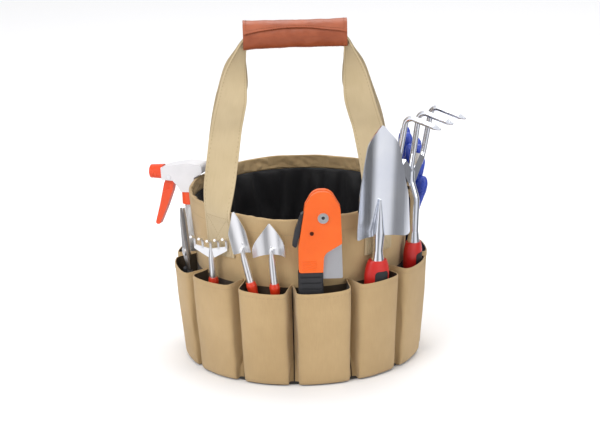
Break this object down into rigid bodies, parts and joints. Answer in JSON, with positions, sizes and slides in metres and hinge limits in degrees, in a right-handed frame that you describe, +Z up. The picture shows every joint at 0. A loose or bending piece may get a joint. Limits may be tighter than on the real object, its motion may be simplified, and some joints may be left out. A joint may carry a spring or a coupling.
{
  "type": "garden tool bag",
  "caption": "Round canvas garden tool bag with outer pockets, webbing handles closed by a leather grip, and a set of hand tools standing in the pockets.",
  "frame": {"origin": "centre of the round base, on its underside", "axes": "+Z up; -Y towards the front of the bag, where the folding saw stands; +X to the right seen from the front"},
  "size_m": [0.4288, 0.3448, 0.458],
  "materials": {
    "canvas": "woven canvas",
    "canvas_facing": "woven canvas, creased",
    "webbing": "heavy webbing",
    "lining": "satin",
    "base_cloth": "coated",
    "board": "plain",
    "binding": "woven tape",
    "leather": "semi-gloss",
    "touch_tape": "hook and loop",
    "cast_head": "polished",
    "large_grip": "satin",
    "grip_pad": "ribbed",
    "saw_handle": "satin",
    "saw_rubber": "ribbed",
    "saw_steel": "brushed",
    "hardware": "polished",
    "lever": "satin",
    "tool_steel": "satin",
    "small_grip": "glossy",
    "snips_steel": "brushed",
    "snips_grip": "matt",
    "bottle": "frosted",
    "spray_body": "satin",
    "spray_orange": "glossy",
    "dip_tube": "clear",
    "glove": "dipped, glossy"
  },
  "bodies": {
    "bag": {"canvas_wall": "canvas", "rim_facing": "canvas_facing", "lining_wall": "lining", "lining_floor": "lining", "base_board": "board", "base_cloth": "base_cloth", "base_binding": "binding", "pocket_01": "canvas", "pocket_02": "canvas", "pocket_03": "canvas", "pocket_04": "canvas", "pocket_05": "canvas", "pocket_06": "canvas", "pocket_07": "canvas", "pocket_08": "canvas", "pocket_09": "canvas", "pocket_10": "canvas", "pocket_11": "canvas", "pocket_12": "canvas", "front_handle": "webbing", "rear_handle": "webbing"},
    "carry_grip": {"grip_roll": "leather", "loop_strip": "touch_tape"},
    "grip_flap": {"grip_flap": "leather", "hook_strip": "touch_tape"},
    "trowel": {"trowel_head": "cast_head", "trowel_grip": "large_grip", "trowel_pad": "grip_pad"},
    "cultivator": {"cultivator_head": "cast_head", "cultivator_grip": "large_grip", "cultivator_pad": "grip_pad"},
    "saw_handle": {"saw_front_scale": "saw_handle", "saw_back_scale": "saw_handle", "saw_spacer": "saw_steel", "saw_pivot_bolt": "hardware", "saw_pivot_nut": "hardware", "saw_lock_pin": "hardware", "saw_rear_grip": "saw_rubber"},
    "saw_blade": {"saw_blade": "saw_steel"},
    "saw_lock_lever": {"saw_lock_lever": "lever"},
    "wide_trowel": {"wide_trowel_head": "tool_steel", "wide_trowel_grip": "small_grip"},
    "narrow_trowel": {"narrow_trowel_head": "tool_steel", "narrow_trowel_grip": "small_grip"},
    "rake": {"rake_head": "tool_steel", "rake_grip": "small_grip"},
    "snips": {"snips_front_blade": "snips_steel", "snips_front_grip": "snips_grip", "snips_pivot_screw": "hardware"},
    "snips_jaw": {"snips_back_blade": "snips_steel", "snips_back_grip": "snips_grip"},
    "sprayer": {"spray_bottle": "bottle", "spray_head": "spray_body", "spray_dip_tube": "dip_tube", "spray_trigger_pin": "hardware"},
    "spray_collar": {"spray_collar": "spray_orange"},
    "spray_trigger": {"spray_trigger": "spray_orange"},
    "spray_nozzle": {"spray_nozzle": "spray_orange"},
    "gloves": {"outer_glove": "glove", "inner_glove": "glove"}
  },
  "joints": [
    {"name": "grip_drop", "type": "slide", "parent": "bag", "child": "carry_grip", "axis": [0, 0, 1], "range_m": [-0.11, 0], "deforming": ["front_handle", "rear_handle"]},
    {"name": "flap_open", "type": "hinge", "parent": "carry_grip", "child": "grip_flap", "pos_m": [0, 0.01025, 0.45011], "axis": [-1, 0, 0], "range_deg": [0, 95]},
    {"name": "trowel_lift", "type": "slide", "parent": "bag", "child": "trowel", "axis": [0.0819, -0.0459, 0.9956], "range_m": [0, 0.1]},
    {"name": "cultivator_lift", "type": "slide", "parent": "bag", "child": "cultivator", "axis": [0.0833, -0.0255, 0.9962], "range_m": [0, 0.1]},
    {"name": "saw_lift", "type": "slide", "parent": "bag", "child": "saw_handle", "axis": [0.0076, -0.0868, 0.9962], "range_m": [0, 0.1]},
    {"name": "wide_trowel_lift", "type": "slide", "parent": "bag", "child": "wide_trowel", "axis": [-0.0704, -0.0732, 0.9948], "range_m": [0, 0.12]},
    {"name": "narrow_trowel_lift", "type": "slide", "parent": "bag", "child": "narrow_trowel", "axis": [-0.2323, 0.0105, 0.9726], "range_m": [0, 0.12]},
    {"name": "rake_lift", "type": "slide", "parent": "bag", "child": "rake", "axis": [-0.1113, -0.0067, 0.9938], "range_m": [0, 0.12]},
    {"name": "snips_lift", "type": "slide", "parent": "bag", "child": "snips", "axis": [-0.0853, -0.0181, 0.9962], "range_m": [0, 0.12]},
    {"name": "sprayer_lift", "type": "slide", "parent": "bag", "child": "sprayer", "axis": [-0.0808, 0.0326, 0.9962], "range_m": [0, 0.1]},
    {"name": "gloves_lift", "type": "slide", "parent": "bag", "child": "gloves", "axis": [0.0858, 0.0151, 0.9962], "range_m": [0, 0.1]},
    {"name": "saw_blade_open", "type": "hinge", "parent": "saw_handle", "child": "saw_blade", "pos_m": [0.02959, -0.16082, 0.2338], "axis": [0.0173, -0.9984, -0.0539], "range_deg": [0, 180]},
    {"name": "saw_lever_press", "type": "hinge", "parent": "saw_handle", "child": "saw_lock_lever", "pos_m": [0.01449, -0.15995, 0.21288], "axis": [0.0173, -0.9984, -0.0539], "range_deg": [0, 4], "stiffness_Nm_per_rad": 0.5},
    {"name": "snips_open", "type": "hinge", "parent": "snips", "child": "snips_jaw", "pos_m": [-0.15378, -0.03269, 0.15097], "axis": [0.9258, 0.3743, 0.0533], "range_deg": [0, 4]},
    {"name": "spray_trigger_pull", "type": "hinge", "parent": "sprayer", "child": "spray_trigger", "pos_m": [-0.17385, 0.07024, 0.22945], "axis": [-0.3746, -0.9272, 0], "range_deg": [0, 16], "stiffness_Nm_per_rad": 0.6},
    {"name": "spray_nozzle_twist", "type": "hinge", "parent": "sprayer", "child": "spray_nozzle", "pos_m": [-0.19355, 0.0782, 0.23331], "axis": [-0.9258, 0.3741, -0.0541], "range_deg": [0, 180]},
    {"name": "spray_collar_turn", "type": "hinge", "parent": "sprayer", "child": "spray_collar", "pos_m": [-0.14828, 0.05991, 0.2009], "axis": [-0.0501, 0.0203, 0.9985], "range_deg": [0, 540]}
  ]
}
